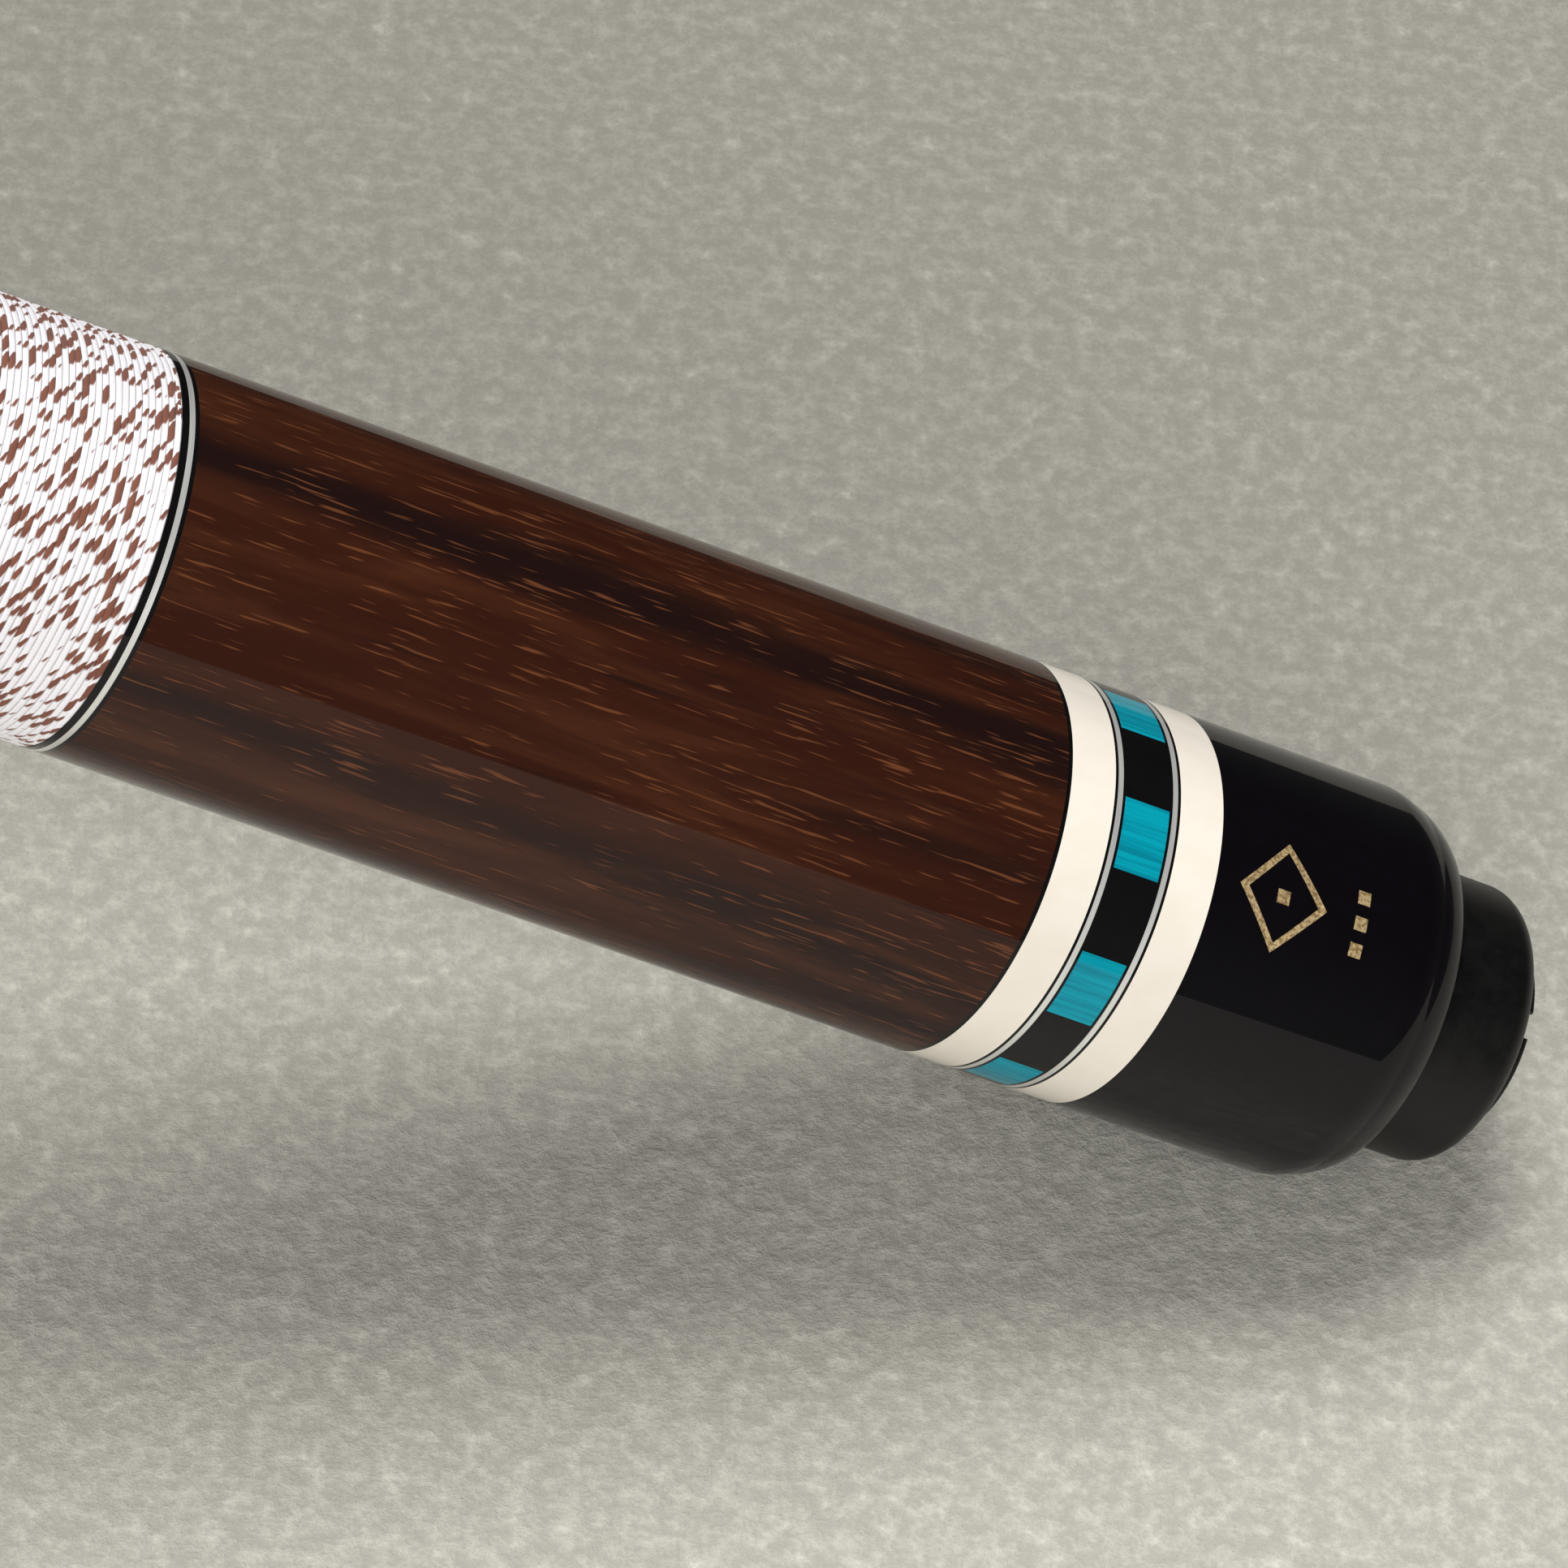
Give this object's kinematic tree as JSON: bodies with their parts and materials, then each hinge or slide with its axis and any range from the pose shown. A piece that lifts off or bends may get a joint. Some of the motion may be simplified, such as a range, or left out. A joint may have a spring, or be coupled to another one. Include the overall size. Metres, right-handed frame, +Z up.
{
  "type": "pool cue",
  "caption": "Two-piece pool cue with a ringed wood sleeve, linen wrap, screw-off rubber bumper and screw-on tapered shaft.",
  "frame": {"origin": "centre of the flat end face of the rubber bumper", "axes": "+X along the cue's axis out of the butt end, away from the tip; +Z up with the cue lying level"},
  "size_m": [1.4746, 0.032, 0.032],
  "materials": {
    "rubber": "matte moulded rubber, slightly satin",
    "steel": "turned and threaded steel",
    "black_gloss": "black phenolic under clear gloss lacquer",
    "brass": "turned brass",
    "nylon": "white nylon",
    "ivory": "ivory-coloured resin under clear gloss lacquer",
    "nickel_silver": "nickel silver, turned, under clear lacquer",
    "turquoise": "turquoise dyed veneer wood under clear gloss lacquer",
    "rosewood": "dark rosewood with orange-brown pores under clear gloss lacquer",
    "linen": "pressed Irish linen, white with rust-brown specks",
    "maple": "hard maple, satin",
    "phenolic": "linen phenolic",
    "ferrule_white": "white ferrule resin",
    "fibre": "vulcanised fibre",
    "leather": "pressed layered leather, chalk-dulled"
  },
  "bodies": {
    "butt": {"butt_cap": "black_gloss", "brass_insert": "brass", "ivory_ring_rear": "ivory", "silver_ring_rear": "nickel_silver", "black_line_1": "black_gloss", "black_line_2": "black_gloss", "turquoise_blocks": "turquoise", "black_blocks": "black_gloss", "black_line_3": "black_gloss", "silver_ring_front": "nickel_silver", "black_line_4": "black_gloss", "ivory_ring_front": "ivory", "black_line_5": "black_gloss", "butt_sleeve": "rosewood", "black_line_6": "black_gloss", "silver_ring_wrap": "nickel_silver", "black_ring_wrap": "black_gloss", "linen_wrap": "linen", "black_ring_top": "black_gloss", "silver_ring_top": "nickel_silver", "handle_core": "maple", "a_joint_screw": "steel", "forearm": "rosewood", "joint_ring": "nickel_silver", "joint_collar": "black_gloss", "joint_pin": "steel"},
    "bumper_carriage": {"bumper_washer": "steel"},
    "bumper": {"bumper_rubber": "rubber", "bumper_stud": "steel"},
    "weight_carriage": {"weight_lock_ring": "nylon"},
    "weight": {"weight_bolt": "steel"},
    "shaft_carriage": {"shaft_ring": "nickel_silver"},
    "shaft": {"shaft_collar": "black_gloss", "shaft_insert": "phenolic", "shaft": "maple", "ferrule": "ferrule_white", "tip_pad": "fibre", "leather_tip": "leather"}
  },
  "joints": [
    {"name": "shaft_travel", "type": "slide", "parent": "butt", "child": "shaft_carriage", "axis": [-1, 0, 0], "range_m": [0, 0.03302]},
    {"name": "shaft_turn", "type": "hinge", "parent": "shaft_carriage", "child": "shaft", "pos_m": [-0.7367, 0, 0], "axis": [-1, 0, 0], "range_deg": [0, 4680]},
    {"name": "bumper_travel", "type": "slide", "parent": "butt", "child": "bumper_carriage", "axis": [1, 0, 0], "range_m": [0, 0.01172]},
    {"name": "bumper_turn", "type": "hinge", "parent": "bumper_carriage", "child": "bumper", "pos_m": [0, 0, 0], "axis": [1, 0, 0], "range_deg": [0, 2160]},
    {"name": "weight_travel", "type": "slide", "parent": "butt", "child": "weight_carriage", "axis": [-1, 0, 0], "range_m": [-0.00782, 0.01954]},
    {"name": "weight_turn", "type": "hinge", "parent": "weight_carriage", "child": "weight", "pos_m": [-0.06, 0, 0], "axis": [-1, 0, 0], "range_deg": [-1440, 3600]}
  ],
  "couplings": [
    {"joint": "shaft_turn", "follows": "shaft_travel", "rad_per_m": 2473.7},
    {"joint": "bumper_turn", "follows": "bumper_travel", "rad_per_m": 3215.6},
    {"joint": "weight_turn", "follows": "weight_travel", "rad_per_m": 3215.6}
  ]
}
